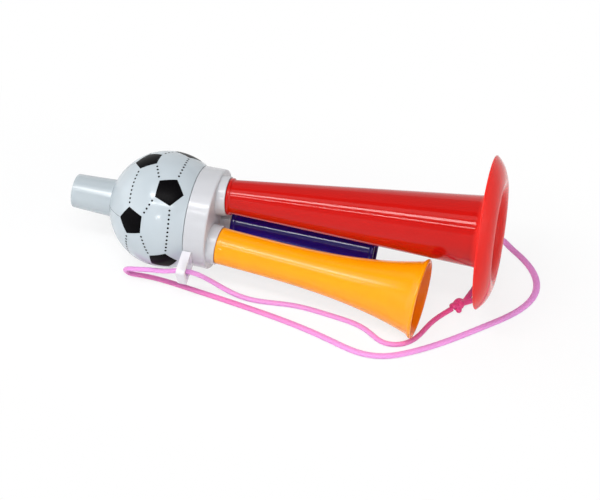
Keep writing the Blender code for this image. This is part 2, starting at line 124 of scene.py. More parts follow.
def arc(centre: Sequence[float], radius: float, start: float, end: float,
        count: int = EDGE_STEPS) -> Outline:
    """Points on a circle between two angles.

    Args:
        centre: Radius and height of the circle's centre.
        radius: The circle's own radius.
        start: First angle.
        end: Last angle.
        count: Number of steps.

    Returns:
        The points, both ends included.
    """
    angles = [start + (end - start) * i / count for i in range(count + 1)]
    return [(centre[0] + radius * cos(a), centre[1] + radius * sin(a)) for a in angles]


def put(shape: Shape, place: Matrix) -> Shape:
    """Moves a shape into a frame and returns it."""
    bmesh.ops.transform(shape, matrix=place, verts=shape.verts)
    return shape


def spun(outline: Outline, place: Matrix, steps: int, closed: bool = True) -> Shape:
    """Solid of revolution about the Z axis of a frame.

    Args:
        outline: Radius and height of each point of the section.
        place: Frame that the solid is put in.
        steps: Facets round the axis.
        closed: Whether the last point joins the first.

    Returns:
        The solid, its faces pointing outward.
    """
    shape = bmesh.new()
    points = [shape.verts.new((radius, 0, height)) for radius, height in outline]
    pairs = list(zip(points, points[1:]))
    if closed:
        pairs.append((points[-1], points[0]))
    edges = [shape.edges.new(pair) for pair in pairs]
    bmesh.ops.spin(shape, geom=points + edges, cent=(0, 0, 0), axis=(0, 0, 1), dvec=(0, 0, 0),
                   angle=2 * pi, steps=steps, use_merge=True)
    bmesh.ops.remove_doubles(shape, verts=shape.verts, dist=WELD)
    bmesh.ops.recalc_face_normals(shape, faces=shape.faces)
    return put(shape, place)


def sharp_edges(shape: Shape, angle: float = SHARP) -> list[bmesh.types.BMEdge]:
    """Edges between two faces that turn by more than an angle in degrees."""
    return [edge for edge in shape.edges
            if len(edge.link_faces) == 2 and edge.calc_face_angle(0) > radians(angle)]


def round_off(shape: Shape, edges: Sequence[bmesh.types.BMEdge], width: float,
              segments: int = 2, clamp: bool = True) -> None:
    """Rounds edges.

    Args:
        shape: Shape that is changed.
        edges: Its edges that are rounded.
        width: How far the rounding reaches from the edge.
        segments: Faces across each rounding.
        clamp: Whether roundings that meet are kept from crossing.
    """
    bmesh.ops.bevel(shape, geom=edges, offset=width, offset_type="OFFSET", segments=segments,
                    profile=0.5, affect="EDGES", material=-1, clamp_overlap=clamp)


def mesh_of(shape: Shape, name: str) -> Mesh:
    """Mesh with the faces of a shape, which is freed."""
    mesh = bpy.data.meshes.new(name)
    shape.to_mesh(mesh)
    shape.free()
    return mesh


def shape_of(mesh: Mesh, base: Optional[Shape] = None) -> Shape:
    """Shape, new or given, with the faces of a mesh, which is removed."""
    shape = bmesh.new() if base is None else base
    shape.from_mesh(mesh)
    bpy.data.meshes.remove(mesh)
    return shape


def joined(shapes: Iterable[Shape], name: str) -> Mesh:
    """One mesh from several shapes, which are freed."""
    whole = bmesh.new()
    for shape in shapes:
        shape_of(mesh_of(shape, "part"), whole)
    return mesh_of(whole, name)


def placed(name: str, data: bpy.types.ID) -> Piece:
    """New object in the scene."""
    item = bpy.data.objects.new(name, data)
    bpy.context.scene.collection.objects.link(item)
    return item


def worked_out(item: Piece) -> Mesh:
    """New mesh with what an object's modifiers or curve settings make of it."""
    graph = bpy.context.evaluated_depsgraph_get()
    return bpy.data.meshes.new_from_object(item.evaluated_get(graph), depsgraph=graph)


def combined(base: Mesh, tool: Mesh, how: Join) -> Mesh:
    """Boolean of two closed meshes, which are removed.

    Args:
        base: Mesh that is worked on.
        tool: Mesh that is added or taken away.
        how: Which of the two.

    Returns:
        A new mesh.
    """
    items = [placed("base", base), placed("tool", tool)]
    cut = items[0].modifiers.new("cut", "BOOLEAN")
    cut.operation = how.value
    cut.solver = "EXACT"
    cut.object = items[1]
    result = worked_out(items[0])
    for item, mesh in zip(items, (base, tool)):
        bpy.data.objects.remove(item)
        bpy.data.meshes.remove(mesh)
    return result


def finished(mesh: Mesh, name: str, material: Material, nodes: Sequence[str] = (),
             angle: float = SHARP) -> Piece:
    """Piece that rides on the horn's body.

    Args:
        mesh: Its faces, in the row frame.
        name: Name of the piece.
        material: Its finish.
        nodes: CAD nodes that the piece stands for.
        angle: Smallest turn in degrees that is shaded as a sharp edge.

    Returns:
        The object.
    """
    mesh.name = name
    mesh.materials.clear()
    mesh.materials.append(material)
    mesh.shade_smooth()
    mesh.set_sharp_from_angle(angle=radians(angle))
    item = placed(name, mesh)
    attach(item, BODY)
    if nodes:
        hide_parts(*nodes)
    LOG.info("%s: %d faces on %s", name, len(mesh.polygons), BODY)
    return item


def linear(code: str) -> tuple[float, float, float, float]:
    """Linear colour of an sRGB hex code such as #C82E2E."""
    parts = [int(code[i:i + 2], 16) / 255 for i in (1, 3, 5)]
    return (*(p / 12.92 if p <= 0.04045 else ((p + 0.055) / 1.055) ** 2.4 for p in parts), 1.0)


def add(tree: Tree, kind: str, inputs: Optional[dict[Any, Any]] = None,
        **settings: Any) -> bpy.types.Node:
    """Adds a node.

    Args:
        tree: Node tree that gets it.
        kind: Type name of the node.
        inputs: Value of each input by name or number, or the output that is linked to it.
        **settings: The node's own properties.

    Returns:
        The node.
    """
    node = tree.nodes.new(kind)
    for name, value in settings.items():
        setattr(node, name, value)
    for key, value in (inputs or {}).items():
        if isinstance(value, Socket):
            tree.links.new(value, node.inputs[key])
        else:
            node.inputs[key].default_value = value
    return node


def object_place(tree: Tree) -> Socket:
    """Coordinates in metres that are fixed to the object."""
    return add(tree, "ShaderNodeTexCoord").outputs["Object"]


def stored(tree: Tree, name: str) -> Socket:
    """Value that the mesh stores at each point."""
    return add(tree, "ShaderNodeAttribute", attribute_name=name).outputs["Fac"]


def noise(tree: Tree, place: Socket, size: float, detail: float,
          stretch: Spot = (1, 1, 1)) -> Socket:
    """Noise of a real size.

    Args:
        tree: Node tree that gets it.
        place: Coordinates in metres.
        size: Width of one patch in metres.
        detail: Number of finer layers.
        stretch: Factor on each axis of the coordinates.

    Returns:
        The noise's value.
    """
    spread = add(tree, "ShaderNodeMapping", {"Vector": place, "Scale": stretch}).outputs[0]
    return add(tree, "ShaderNodeTexNoise", {"Vector": spread, "Scale": 1 / size,
                                            "Detail": detail}).outputs[0]


def blend(tree: Tree, share: Socket, low: Any, high: Any, **settings: Any) -> Socket:
    """Colour between two hex codes or outputs, by a share from 0 to 1."""
    ends = [linear(tone) if isinstance(tone, str) else tone for tone in (low, high)]
    return add(tree, "ShaderNodeMix", {0: share, 6: ends[0], 7: ends[1]}, data_type="RGBA",
               **settings).outputs[2]


def ranged(tree: Tree, value: Socket, low: float, high: float, start: float = 0.0,
           end: float = 1.0, kind: str = "LINEAR") -> Socket:
    """Value that goes from low to high while the given one goes from start to end."""
    return add(tree, "ShaderNodeMapRange", {"Value": value, 1: start, 2: end, 3: low, 4: high},
               interpolation_type=kind).outputs[0]


def sums(tree: Tree, operation: str, *values: Any) -> Socket:
    """Result of one mathematical operation."""
    return add(tree, "ShaderNodeMath", dict(enumerate(values)), operation=operation).outputs[0]


def relief(tree: Tree, height: Socket, depth: float, **below: Socket) -> Socket:
    """Normal of a relief, which lies on another one if that is given as Normal."""
    return add(tree, "ShaderNodeBump", {"Height": height, "Distance": depth, **below}).outputs[0]


def principled(tree: Tree, tone: Socket, roughness: Any, normal: Socket,
               inputs: dict[str, Any]) -> Socket:
    """Principled shader.

    Args:
        tree: Node tree that gets it.
        tone: Its colour.
        roughness: Its roughness, a number or an output.
        normal: Its normal.
        inputs: Its other inputs by name.

    Returns:
        The shader's output.
    """
    return add(tree, "ShaderNodeBsdfPrincipled", {
        "Base Color": tone, "Roughness": roughness, "Normal": normal, **inputs}).outputs[0]


@dataclass(frozen=True)
class Finish:
    """Look of one real material."""

    name: str

    def make(self) -> Material:
        """Node material with this finish."""
        material = bpy.data.materials.new(self.name)
        material.use_nodes = True
        tree = material.node_tree
        tree.nodes.clear()
        add(tree, "ShaderNodeOutputMaterial", {"Surface": self.surface(tree)})
        return material

    def surface(self, tree: Tree) -> Socket:
        """Shader of the finish."""
        raise NotImplementedError


@dataclass(frozen=True)
class MouldedPlastic(Finish):
    """Glossy thermoplastic from a polished mould: clear streaks of light that waver a little.

    Beyond thin_from along X its wall gets thin, light fills it, and the thin values take over:
    the thin colour is painted light, brighter than the plastic's own colour.
    The inner colour is painted light: what the inside of a tube shows of the light that comes
    through.
    """

    colour: str
    deep_colour: str
    roughness: float = 0.16
    smudge: float = 0.06
    ior: float = 1.49
    specular: float = 0.5
    flow_size: float = 14.0 * MM
    touch_size: float = 5.0 * MM
    touch_range: tuple[float, float] = (0.35, 0.75)
    waviness: float = 9.0 * MM
    wave_depth: float = 0.012 * MM
    grain_size: float = 0.35 * MM
    grain_depth: float = 0.0012 * MM
    glow: float = 0.0
    glow_reach: float = 2.0 * MM
    glow_tint: Spot = (1.0, 0.9, 0.85)
    thin_painted_light_colour: str = ""
    thin_from: float = 0.0
    thin_to: float = 1.0
    thin_specular: float = 0.1
    thin_glow: float = 0.5
    inner_painted_light_colour: str = ""

    def surface(self, tree: Tree) -> Socket:
        """Shader of this plastic."""
        place = object_place(tree)
        tone = blend(tree, noise(tree, place, self.flow_size, 3.0), self.deep_colour, self.colour)
        mirror: Any = self.specular
        glow: Any = self.glow
        if self.thin_painted_light_colour:
            along = add(tree, "ShaderNodeSeparateXYZ", {0: place}).outputs[0]
            thin = ranged(tree, along, 0.0, 1.0, self.thin_from, self.thin_to, "SMOOTHSTEP")
            # Painted light: a brighter colour where light fills the thin wall
            tone = blend(tree, thin, tone, self.thin_painted_light_colour)
            mirror = ranged(tree, thin, self.specular, self.thin_specular)
            glow = ranged(tree, thin, self.glow, self.thin_glow)
        if self.inner_painted_light_colour:
            # Painted light on the faces that look at the horn's axis: light that comes through
            # the wall
            tone = blend(tree, stored(tree, "inside"), tone, self.inner_painted_light_colour)
        touched = noise(tree, place, self.touch_size, 4.0)
        gloss = ranged(tree, touched, self.roughness, self.roughness + self.smudge,
                       *self.touch_range)
        wave = relief(tree, noise(tree, place, self.waviness, 1.0), self.wave_depth)
        grain = relief(tree, noise(tree, place, self.grain_size, 1.0), self.grain_depth,
                       Normal=wave)
        return principled(tree, tone, gloss, grain, {
            "IOR": self.ior, "Specular IOR Level": mirror, "Subsurface Weight": glow,
            "Subsurface Radius": self.glow_tint, "Subsurface Scale": self.glow_reach})


@dataclass(frozen=True)
class PadInk(Finish):
    """Black pad-printing ink on the ball: a thin, slightly duller film with fine pinholes."""

    name: str = "pad_printed_black_ink"
    colour: str = "#070608"
    worn_colour: str = "#121014"
    worn_range: tuple[float, float] = (0.55, 0.8)
    roughness: float = 0.3
    pinhole_size: float = 1.1 * MM
    pinhole_depth: float = 0.004 * MM

    def surface(self, tree: Tree) -> Socket:
        """Shader of the ink."""
        cover = noise(tree, object_place(tree), self.pinhole_size, 5.0)
        worn = ranged(tree, cover, 0.0, 1.0, *self.worn_range)
        tone = blend(tree, worn, self.colour, self.worn_colour)
        return principled(tree, tone, self.roughness, relief(tree, cover, self.pinhole_depth),
                          {"IOR": 1.5, "Specular IOR Level": 0.03})


@dataclass(frozen=True)
class BraidedPolyester(Finish):
    """Shiny polyester braid: lighter yarn crowns and a deeper pink where the yarns dive under,
    painted light and shade of the braid's relief.

    The dye took unevenly, so some lengths of the cord are light pink and others hot pink.
    """

    name: str = "braided_polyester_cord"
    crown: str = "#ECAAEA"
    shaded_valley: str = "#DC84D2"
    deep_crown: str = "#EC5094"
    deep_shaded_valley: str = "#CE3676"
    least_crown: float = 0.25
    roughness: float = 0.42
    thread_depth: float = 0.05 * MM

    def surface(self, tree: Tree) -> Socket:
        """Shader of the cord, on its own UV map and its braid and dye attributes."""
        crown = stored(tree, "braid")
        fibre = add(tree, "ShaderNodeUVMap", uv_map="UVMap").outputs[0]
        threads = add(tree, "ShaderNodeTexNoise", {"Vector": fibre, "Scale": 3.0,
                                                   "Detail": 3.0}).outputs[0]
        high = sums(tree, "MULTIPLY_ADD", crown, threads, self.least_crown)
        # Painted light and shade: lighter on the yarn crowns, deeper pink in the shaded valleys
        tones = [blend(tree, high, *ends, clamp_factor=True)
                 for ends in ((self.shaded_valley, self.crown), (self.deep_shaded_valley, self.deep_crown))]
        tone = blend(tree, stored(tree, "dye"), *tones)
        return principled(tree, tone, self.roughness, relief(tree, threads, self.thread_depth), {
            "IOR": 1.5, "Specular IOR Level": 0.35, "Sheen Weight": 0.15, "Sheen Roughness": 0.4})


@dataclass(frozen=True)
class BrassStrip(Finish):
    """Rolled brass: a warm metal whose rolling lines run along the strip."""

    name: str = "rolled_brass_strip"
    colour: str = "#C9A45C"
    tarnish: str = "#A8803F"
    roughness: tuple[float, float] = (0.2, 0.4)
    line_size: float = 0.3 * MM
    line_depth: float = 0.003 * MM
    line_stretch: Spot = (0.05, 1, 1)
    stain_size: float = 3.0 * MM

    def surface(self, tree: Tree) -> Socket:
        """Shader of the strip."""
        place = object_place(tree)
        lines = noise(tree, place, self.line_size, 2.0, self.line_stretch)
        tone = blend(tree, noise(tree, place, self.stain_size, 3.0), self.tarnish, self.colour)
        gloss = ranged(tree, lines, *self.roughness)
        return principled(tree, tone, gloss, relief(tree, lines, self.line_depth),
                          {"Metallic": 1.0})


@dataclass(frozen=True)
class WhitePaper(Finish):
    """Matt white paper that keeps the horn's shadow and stays white far from the lamps.

    Rays from the camera, mirrored rays and passed rays also see it shine by itself: with strength
    1 in the distance, and by a smaller share in an oval round the horn, where its shadow falls.
    """

    name: str = "matt_white_paper"
    colour: str = "#F4F5F6"
    lift: float = 0.8
    narrow: float = 0.45
    near: float = 0.06
    far: float = 0.17

    def surface(self, tree: Tree) -> Socket:
        """Shader of the paper."""
        sheet = add(tree, "ShaderNodeBsdfDiffuse", {"Color": linear(self.colour)}).outputs[0]
        oval = add(tree, "ShaderNodeMapping", {"Vector": object_place(tree),
                                               "Scale": (self.narrow, 1, 1)}).outputs[0]
        reach = add(tree, "ShaderNodeVectorMath", {0: oval}, operation="LENGTH").outputs["Value"]
        share = ranged(tree, reach, self.lift, 1.0, self.near, self.far, "SMOOTHSTEP")
        path = add(tree, "ShaderNodeLightPath").outputs
        seen = sums(tree, "MAXIMUM", path["Is Camera Ray"], path["Is Glossy Ray"])
        seen = sums(tree, "MAXIMUM", seen, path["Is Transmission Ray"])
        level = sums(tree, "MULTIPLY", seen, share)
        glow = add(tree, "ShaderNodeEmission", {"Strength": 1.0}).outputs[0]
        return add(tree, "ShaderNodeMixShader", {0: level, 1: sheet, 2: glow}).outputs[0]


# Blow-moulded polypropylene: dense, glossy colour in which long streaks of light stand
# The red's thin colour on the lip is painted light, the brighter red of light filling the thin
# wall
RED_PLASTIC = MouldedPlastic(
    "red_blow_moulded_polypropylene", "#C6120C", "#BD100B", 0.08, 0.03, specular=0.27, glow=0.06,
    thin_painted_light_colour="#E52F29", thin_from=121.5 * MM, thin_to=125.5 * MM)
# The orange's inner colour is painted light that comes through its wall
ORANGE_PLASTIC = MouldedPlastic(
    "orange_blow_moulded_polypropylene", "#FFA806", "#FF9E04", 0.19, 0.04, specular=0.38,
    glow=0.1, inner_painted_light_colour="#FF8A06")
BLUE_PLASTIC = MouldedPlastic(
    "blue_blow_moulded_polypropylene", "#2A1490", "#241084", 0.1, 0.03, specular=0.6)
# Injection-moulded ABS: cool white, a little light passes through its thin edges
WHITE_PLASTIC = MouldedPlastic(
    "white_injection_moulded_abs", "#BEC8CE", "#BBC5CC", 0.16, 0.03, ior=1.53,
    waviness=16 * MM, wave_depth=0.02 * MM, glow=0.12)
# The mouthpiece is the same white, painted darker as shade; polished by use, it shows a broad
# band of light
MOUTH_PLASTIC = replace(
    WHITE_PLASTIC, name="polished_white_abs_with_painted_shade", colour="#B4BEC4", deep_colour="#B3BDC3",
    roughness=0.24, smudge=0.0, specular=1.0, wave_depth=0.005 * MM)
# The cap is the same ABS as the ball: its warmer, lighter white is painted light
CAP_PLASTIC = replace(
    WHITE_PLASTIC, name="cap_white_abs_with_painted_light", colour="#C9CACE",
    deep_colour="#C6C7CC", roughness=0.18, specular=0.4)
# The lanyard eye is a thin loop of the cap's white ABS: light fills it, and its whiter colour is
# painted glow
THIN_WHITE_PLASTIC = MouldedPlastic(
    "thin_white_abs_with_painted_glow", "#E4E2E7", "#E0DEE4", 0.22, 0.05, ior=1.53, glow=0.25)
# Unpainted moulded ABS of the reed holders: warmer and duller than the outside
HOLDER_PLASTIC = MouldedPlastic(
    "natural_moulded_abs", "#D2CFC6", "#C6C3B8", 0.42, 0.12, ior=1.53, grain_depth=0.006 * MM)
# Black nylon of the slip rings: satin, with a fine grain
RING_PLASTIC = MouldedPlastic(
    "black_moulded_nylon", "#2A2A2C", "#202022", 0.45, 0.1, ior=1.53, specular=0.35,
    grain_depth=0.006 * MM)


@dataclass(frozen=True)
class Lamp:
    """Soft rectangular lamp that faces the horn, its length along X.

    Its radiance is how bright its face is, where 1 is white.
    """

    name: str
    place: Spot
    size: tuple[float, float]
    radiance: float
    target: Spot = (0.0, 0.0, 0.04)

    def build(self) -> None:
        """Adds the lamp to the scene."""
        light = bpy.data.lights.new(self.name, "AREA")
        light.shape = "RECTANGLE"
        light.size, light.size_y = self.size
        light.energy = self.radiance * pi * self.size[0] * self.size[1]
        item = placed(self.name, light)
        away = (Vector(self.place) - Vector(self.target)).normalized()
        side = Vector((0, 1, 0)).cross(away).normalized()
        turn = Matrix((side, away.cross(side), away)).transposed().to_4x4()
        item.matrix_world = Matrix.Translation(self.place) @ turn
        item.visible_camera = False


@dataclass(frozen=True)
class Studio:
    """White sweep under two tube lamps, soft panels round it, and the photograph's camera."""

    camera_place: Spot = (213.55, -785.58, 796.32)
    azimuth: float = radians(14.424)
    elevation: float = radians(43.71)
    roll: float = radians(0.427)
    focal_pixels: float = 1753.54
    sensor: float = 36.0
    view_end: float = 100.0
    sky: float = 0.15
    sweep_radius: float = 11.0
    sweep_height: float = 5.0
    sweep_curve: float = 1.0
    sweep_drop: float = 0.1 * MM
    sweep_facets: int = 96
    lamps: tuple[Lamp, ...] = (
        Lamp("tube", (-0.12, -0.6, 1.42), (1.25, 0.2), 16.0),
        Lamp("second_tube", (-0.1, -0.94, 1.2), (1.2, 0.07), 18.0),
        Lamp("ceiling", (0.0, -0.2, 1.5), (1.7, 0.36), 1.4),
        Lamp("front", (-0.1, -1.34, 0.98), (1.9, 0.42), 0.3),
        Lamp("back", (-0.5, 1.05, 1.3), (1.8, 1.5), 0.35),
        Lamp("left", (-1.6, -0.45, 0.7), (1.5, 2.2), 1.0),
        Lamp("right", (1.6, -0.5, 0.6), (1.4, 1.8), 1.1),
        Lamp("small", (-0.127, -1.24, 0.64), (0.05, 0.05), 120.0))

    def camera(self) -> None:
        """Camera at the photograph's place and focal length."""
        lens = bpy.data.cameras.new("camera")
        lens.sensor_width = self.sensor
        lens.lens = self.focal_pixels * self.sensor / PHOTO_WIDTH
        lens.clip_end = self.view_end
        eye = placed("camera", lens)
        turn = (Matrix.Rotation(self.azimuth, 4, "Z")
                @ Matrix.Rotation(pi / 2 - self.elevation, 4, "X"))
        eye.matrix_world = (Matrix.Translation(Vector(self.camera_place) * MM) @ turn
                            @ Matrix.Rotation(self.roll, 4, "Z"))
        bpy.context.scene.camera = eye

    def world(self) -> None:
        """Even sky of low strength, which lights every side."""
        world = bpy.data.worlds.new("studio")
        world.use_nodes = True
        tree = world.node_tree
        tree.nodes.clear()
        sky = add(tree, "ShaderNodeBackground", {"Color": (1, 1, 1, 1), "Strength": self.sky})
        add(tree, "ShaderNodeOutputWorld", {"Surface": sky.outputs[0]})
        bpy.context.scene.world = world

    def table(self) -> None:
        """White sweep: a flat floor that curves up into a low wall all round."""
        foot, curve = self.sweep_radius - self.sweep_curve, self.sweep_curve
        outline = [(0.0, 0.0), (1.0, 0.0), (foot, 0.0)]
        outline += arc((foot, curve), curve, -pi / 2, 0)[1:]
        outline += [(self.sweep_radius, self.sweep_height)]
        drop = Matrix.Translation((0, 0, -self.sweep_drop))
        mesh = mesh_of(spun(outline, drop, self.sweep_facets, False), "table")
        mesh.materials.append(WhitePaper().make())
        placed("table", mesh)

    def build(self) -> None:
        """Camera, lamps, surroundings and table."""
        self.camera()
        for lamp in self.lamps:
            lamp.build()
        self.world()
        self.table()
        bpy.context.scene.view_settings.view_transform = "Standard"


def span_lengths(points: np.ndarray) -> np.ndarray:
    """Distance from each point of a line to the next."""
    return np.linalg.norm(np.diff(points, axis=0), axis=1)


def distances(points: np.ndarray) -> np.ndarray:
    """Distance of each point of a line from its start, along the line."""
    return np.concatenate(([0], np.cumsum(span_lengths(points))))


@dataclass
class Lanyard:
    """Loop of braided cord through the eye, its ends joined in a knot beside the lip.

    Places are in millimetres from the table's point below the ball. Each station says how far it
    is from the knot along the cord, how deep the dye is there, and how wide the braid is.
    """

    finish: Material
    width: float = 4.2 * MM
    height: float = 3.0 * MM
    plain_diameter: float = 3.6 * MM
    lift: float = 0.1 * MM
    ring_step: float = 0.4 * MM
    fine_steps: int = 16
    sides: int = 24
    yarns: int = 5
    yarn_pitch: float = 4.4 * MM
    yarn_threads: int = 6
    relief: float = 0.16 * MM
    shading_angle: float = 80.0
    # The braid lies flat where its way is level, and is round where it climbs steeply
    round_level: float = 0.3
    flat_level: float = 0.8
    knot_width: float = 5.0 * MM
    knot_place: Spot = (191.8, -2.3, 3.1)
    knot_turn: float = radians(52.0)
    knot_size: Spot = (1.3, 0.6, 0.8)
    knot_points: int = 160
    tail_width: float = 3.9 * MM
    long_tail: tuple[Spot, ...] = (
        (193.6, -1.4, 3.4), (196.6, 1.4, 3.0), (200.2, 5.2, 2.3), (202.9, 10.8, 1.9),
        (205.0, 17.0, 1.9), (206.6, 24.0, 1.9))
    short_tail: tuple[Spot, ...] = (
        (192.0, -1.6, 3.6), (192.6, -4.0, 3.2), (193.2, -6.2, 2.5), (193.4, -8.2, 2.0))
    stations: tuple[Spot, ...] = (
        (0, 0.95, 3.6), (30, 0.7, 3.4), (60, 0.15, 3.6), (150, 0.05, 3.6), (240, 0.1, 3.5),
        (262, 0.55, 3.5), (320, 0.5, 3.9), (400, 0.1, 4.2), (525, 0.05, 4.3), (560, 0.15, 4.6),
        (610, 0.3, 4.3), (655, 1.0, 3.9))
    route: tuple[Spot, ...] = (
        (188.7, -6.2, 2.4), (178.2, -21.6, 1.9), (170.9, -37.9, 1.9), (163.6, -44.2, 1.9),
        (153.2, -45.4, 1.9), (141.0, -38.2, 1.9), (116.9, -31.5, 1.9), (90.0, -28.9, 1.9),
        (66.0, -30.8, 1.9), (52.5, -29.9, 3.2), (41.0, -30.0, 8.8), (33.4, -33.6, 16.9),
        (27.2, -36.9, 22.45), (20.0, -38.2, 23.6), (10.0, -37.3, 19.9), (-2.5, -34.6, 15.3),
        (-9.6, -34.4, 13.8), (-15.3, -34.0, 12.4), (-19.9, -31.7, 8.3), (-18.6, -29.4, 3.6),
        (-12.9, -28.2, 2.1), (0.7, -28.3, 1.9), (20.0, -31.0, 1.9), (68.0, -39.2, 1.9),
        (96.0, -45.1, 1.9), (121.5, -52.5, 1.9), (142.5, -58.0, 1.9), (155.5, -56.8, 1.9),
        (169.0, -50.5, 1.9), (194.5, -31.2, 1.9), (213.5, -13.6, 1.9), (229.8, 3.8, 1.9),
        (237.6, 23.0, 1.9), (235.6, 35.4, 1.9), (222.6, 53.0, 1.9), (213.4, 61.2, 1.9),
        (206.4, 66.0, 1.9), (200.4, 60.2, 1.9), (201.0, 48.0, 1.9), (195.3, 2.2, 2.4))

    def smooth(self, route: Sequence[Spot]) -> np.ndarray:
        """Evenly spaced points on the natural cubic spline through a route's own points.

        Args:
            route: The route's points.

        Returns:
            One row for each new point, in the route's unit.
        """
        points = np.array(route)
        spans = span_lengths(points)
        slopes = np.diff(points, axis=0) / spans[:, None]
        system = np.eye(len(points))
        load = np.zeros((len(points), 3))
        for i in range(1, len(points) - 1):
            system[i, i - 1:i + 2] = spans[i - 1], 2 * (spans[i - 1] + spans[i]), spans[i]
            load[i] = 6 * (slopes[i] - slopes[i - 1])
        bends = np.linalg.solve(system, load)
        fine = [points[0]]
        for i, span in enumerate(spans):
            for t in span * np.arange(1, self.fine_steps + 1) / self.fine_steps:
                u = span - t
                chord = (points[i] * u + points[i + 1] * t) / span
                bow = (bends[i] * (u ** 3 / span - u * span)
                       + bends[i + 1] * (t ** 3 / span - t * span))
                fine.append(chord + bow / 6)
        fine = np.array(fine)
        reach = distances(fine)
        count = int(round(reach[-1] / (self.ring_step / MM))) + 1
        places = np.linspace(0, reach[-1], count)
        return np.stack([np.interp(places, reach, fine[:, axis]) for axis in range(3)], axis=1)

    def on_table(self, route: Sequence[Spot]) -> np.ndarray:
        """Smooth line along a route, in metres in the row frame, clear of the table."""
        places = self.smooth(route) * MM
        low = self.plain_diameter / 2 + self.lift
        places[:, 2] = np.maximum(places[:, 2], low) - (self.plain_diameter - self.height) / 2
        return places + TABLE_ORIGIN

    def round_tube(self, places: np.ndarray) -> Mesh:
        """Open tube of 1 mm radius along a path, its vertices ring by ring."""
        line = bpy.data.curves.new("tube", "CURVE")
        line.dimensions = "3D"
        line.twist_mode = "MINIMUM"
        line.bevel_depth = MM
        line.bevel_resolution = (self.sides - 4) // 2
        line.use_fill_caps = False
        spline = line.splines.new("POLY")
        spline.points.add(len(places) - 1)
        for point, place in zip(spline.points, places):
            point.co = (*place, 1)
        item = placed("tube", line)
        mesh = worked_out(item)
        bpy.data.objects.remove(item)
        bpy.data.curves.remove(line)
        return mesh

    def braided(self, name: str, places: np.ndarray, width: Any, dye: Any,
                nodes: Sequence[str] = (), round_ends: bool = False) -> Piece:
        """Flat braided tube along a path.

        Args:
            name: Name of the piece.
            places: Points on its centre line, in the row frame.
            width: Width over the yarns, one or at each point.
            dye: Depth of the colour from 0 to 1, one or at each point.
            nodes: CAD nodes that the piece stands for.
            round_ends: Whether both ends are closed with melted round tips.

        Returns:
            The piece, its mesh with a UV map and braid and dye attributes.
        """
        mesh = self.round_tube(places)
        along = distances(places)
        crown = self.press(mesh, places, along, np.broadcast_to(width, along.shape), round_ends)
        depth = np.repeat(np.broadcast_to(dye, along.shape), crown.shape[1])
        for label, values in (("braid", crown), ("dye", depth)):
            layer = mesh.attributes.new(label, "FLOAT", "POINT")
            layer.data.foreach_set("value", values.reshape(-1).astype(np.float32))
        self.lay_fibres(mesh, along)
        self.close_ends(mesh)
        mesh.update()
        return finished(mesh, name, self.finish, nodes, self.shading_angle)

    def press(self, mesh: Mesh, places: np.ndarray, along: np.ndarray, width: np.ndarray,
              round_ends: bool) -> np.ndarray:
        """Flattens a round tube level with the table and presses the yarns' relief into it.

        Args:
            mesh: Tube whose vertices stand ring by ring.
            places: Points on its centre line.
            along: Distance of each point from the start.
            width: Width over the yarns at each point.
            round_ends: Whether the tube narrows to round tips at both ends.

        Returns:
            Height of the braid at each vertex, from 0 in a valley to 1 on a crown.
        """
        rings = len(places)
        sides = len(mesh.vertices) // rings
        flat = np.empty(len(mesh.vertices) * 3, np.float32)
        mesh.vertices.foreach_get("co", flat)
        spots = flat.reshape(rings, sides, 3).astype(float)
        centres = spots.mean(axis=1, keepdims=True)
        turn = np.arange(sides) / sides
        right = self.yarns * turn[None, :] + along[:, None] / self.yarn_pitch
        left = self.yarns * turn[None, :] - along[:, None] / self.yarn_pitch
        over = np.where((np.floor(right) + np.floor(left)) % 2 == 0, right, left)
        crown = np.sqrt(np.abs(np.sin(pi * (over % 1))))
        half = width / 2
        size = (half[:, None] - (1 - crown) * self.relief) / MM
        if round_ends:
            tip = np.minimum(along, along[-1] - along) / half
            size *= np.sqrt(np.clip(1 - (1 - np.clip(tip, 0, 1)) ** 2, 0.002, 1))[:, None]
        ahead = np.gradient(places, axis=0)
        ahead /= np.linalg.norm(ahead, axis=1, keepdims=True)
        level = np.linalg.norm(ahead[:, :2], axis=1)
        side = np.stack((-ahead[:, 1], ahead[:, 0], 0 * level), axis=1)
        side /= np.linalg.norm(side, axis=1, keepdims=True) + 1e-9
        rise = np.cross(ahead, side)
        share = (level - self.round_level) / (self.flat_level - self.round_level)
        share = np.clip(share, 0, 1)[:, None, None]
        thin = (self.height / width)[:, None, None]
        even = np.sqrt(thin)
        offset = (spots - centres) * size[:, :, None]
        across = (offset * side[:, None]).sum(axis=2, keepdims=True) * side[:, None]
        upward = (offset * rise[:, None]).sum(axis=2, keepdims=True) * rise[:, None]
        offset += (even - 1 + (1 - even) * share) * across
        offset += (even - 1 + (thin - even) * share) * upward
        mesh.vertices.foreach_set("co", (centres + offset).reshape(-1).astype(np.float32))
        return crown

    def lay_fibres(self, mesh: Mesh, along: np.ndarray) -> None:
        """Gives a tube a UV map: U round it, V along it, without a jump at the seam.

        Args:
            mesh: Tube whose vertices stand ring by ring.
            along: Distance of each ring from the start.
        """
        sides = len(mesh.vertices) // len(along)
        corners = np.empty(len(mesh.loops), np.int32)
        mesh.loops.foreach_get("vertex_index", corners)
        ring, side = corners // sides, corners % sides
        starts = np.empty(len(mesh.polygons), np.int32)
        mesh.polygons.foreach_get("loop_start", starts)
        face = np.searchsorted(starts, np.arange(len(corners)), side="right") - 1
        last = np.zeros(len(starts), bool)
        np.logical_or.at(last, face, side == sides - 1)
        around = side / sides + np.where(last[face] & (side == 0), 1.0, 0.0)
        for layer in list(mesh.uv_layers):
            mesh.uv_layers.remove(layer)
        layer = mesh.uv_layers.new(name="UVMap")
        uvs = np.stack((self.yarns * around * self.yarn_threads,
                        along[ring] / self.yarn_pitch * 2), axis=1)
        layer.data.foreach_set("uv", uvs.reshape(-1).astype(np.float32))

